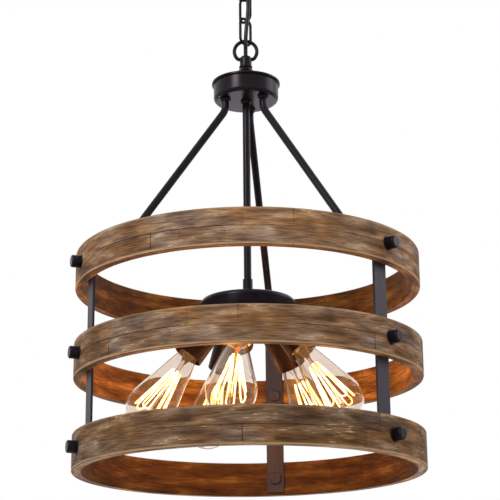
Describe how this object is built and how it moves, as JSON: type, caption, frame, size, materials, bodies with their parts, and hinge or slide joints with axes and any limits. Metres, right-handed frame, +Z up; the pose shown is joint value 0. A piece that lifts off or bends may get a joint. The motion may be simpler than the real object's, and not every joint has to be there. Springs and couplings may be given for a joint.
{
  "type": "wooden ceiling light",
  "caption": "Pendant ceiling light with stacked bent-wood rings on black steel bars, hung by rods and a short chain, with clear bulbs inside.",
  "frame": {"origin": "centre of the crossbar's fixing slots, on the ceiling plane", "axes": "+Z up into the ceiling along the hanging axis, -Y to the front as pictured, +X to the right"},
  "size_m": [0.4505, 0.4602, 0.7426],
  "materials": {
    "weathered_wood": "weathered, waxed",
    "black_steel": "satin black",
    "zinc_steel": "zinc plated",
    "clear_glass": "clear",
    "plated_cap": "bright",
    "filament": "glowing",
    "porcelain": "glazed",
    "black_cord": "matt"
  },
  "bodies": {
    "ceiling_mount": {"ceiling_canopy": "black_steel", "ceiling_crossbar": "zinc_steel", "canopy_nipple": "zinc_steel", "canopy_nut": "zinc_steel", "canopy_loop_holder": "black_steel"},
    "canopy_ring": {"canopy_ring": "black_steel"},
    "link_upper": {"chain_link_upper": "black_steel"},
    "link_lower": {"chain_link_lower": "black_steel", "supply_cord": "black_cord"},
    "hub_ring": {"hub_ring": "black_steel"},
    "light": {"arm_1": "black_steel", "arm_2": "black_steel", "arm_3": "black_steel", "arm_nuts": "zinc_steel", "bar_1": "black_steel", "bar_2": "black_steel", "bar_3": "black_steel", "cap_nuts": "black_steel", "centre_rod": "black_steel", "cluster_cover": "black_steel", "cluster_finial": "black_steel", "cluster_pan": "black_steel", "hub_cup": "black_steel", "hub_ferrules": "black_steel", "hub_lid": "black_steel", "hub_loop_holder": "black_steel", "hub_nuts": "zinc_steel", "ring_bolts": "black_steel", "ring_bottom": "weathered_wood", "ring_middle": "weathered_wood", "ring_top": "weathered_wood", "rod_nuts": "zinc_steel", "rod_sleeve": "black_steel", "socket_cup_1": "black_steel", "socket_cup_2": "black_steel", "socket_cup_3": "black_steel", "socket_cup_4": "black_steel", "socket_cup_5": "black_steel", "socket_insert_1": "porcelain", "socket_insert_2": "porcelain", "socket_insert_3": "porcelain", "socket_insert_4": "porcelain", "socket_insert_5": "porcelain", "socket_nipples": "zinc_steel"},
    "bulb_1": {"bulb_cap_1": "plated_cap", "bulb_filament_1": "filament", "bulb_glass_1": "clear_glass"},
    "bulb_2": {"bulb_cap_2": "plated_cap", "bulb_filament_2": "filament", "bulb_glass_2": "clear_glass"},
    "bulb_3": {"bulb_cap_3": "plated_cap", "bulb_filament_3": "filament", "bulb_glass_3": "clear_glass"},
    "bulb_4": {"bulb_cap_4": "plated_cap", "bulb_filament_4": "filament", "bulb_glass_4": "clear_glass"},
    "bulb_5": {"bulb_cap_5": "plated_cap", "bulb_filament_5": "filament", "bulb_glass_5": "clear_glass"}
  },
  "joints": [
    {"name": "canopy_ring_swing", "type": "hinge", "parent": "ceiling_mount", "child": "canopy_ring", "pos_m": [0, 0, -0.0564], "axis": [1, 0, 0], "range_deg": [-20, 20], "deforming": ["supply_cord"]},
    {"name": "link_upper_swing", "type": "hinge", "parent": "canopy_ring", "child": "link_upper", "pos_m": [0, 0, -0.07865], "axis": [0.7071, -0.7071, 0], "range_deg": [-15, 15]},
    {"name": "link_lower_swing", "type": "hinge", "parent": "link_upper", "child": "link_lower", "pos_m": [0, 0, -0.11275], "axis": [0.7071, 0.7071, 0], "range_deg": [-15, 15]},
    {"name": "hub_ring_swing", "type": "hinge", "parent": "link_lower", "child": "hub_ring", "pos_m": [0, 0, -0.15095], "axis": [0.7071, 0.7071, 0], "range_deg": [-15, 15]},
    {"name": "light_swing", "type": "hinge", "parent": "hub_ring", "child": "light", "pos_m": [0, 0, -0.1732], "axis": [1, 0, 0], "range_deg": [-20, 20]},
    {"name": "bulb_1_unscrew", "type": "slide", "parent": "light", "child": "bulb_1", "axis": [-0.0966, -0.5654, -0.8192], "range_m": [0, 0.03]},
    {"name": "bulb_2_unscrew", "type": "slide", "parent": "light", "child": "bulb_2", "axis": [0.5078, -0.2666, -0.8192], "range_m": [0, 0.03]},
    {"name": "bulb_3_unscrew", "type": "slide", "parent": "light", "child": "bulb_3", "axis": [0.4105, 0.4006, -0.8192], "range_m": [0, 0.03]},
    {"name": "bulb_4_unscrew", "type": "slide", "parent": "light", "child": "bulb_4", "axis": [-0.2541, 0.5142, -0.8192], "range_m": [0, 0.03]},
    {"name": "bulb_5_unscrew", "type": "slide", "parent": "light", "child": "bulb_5", "axis": [-0.5676, -0.0828, -0.8192], "range_m": [0, 0.03]}
  ]
}
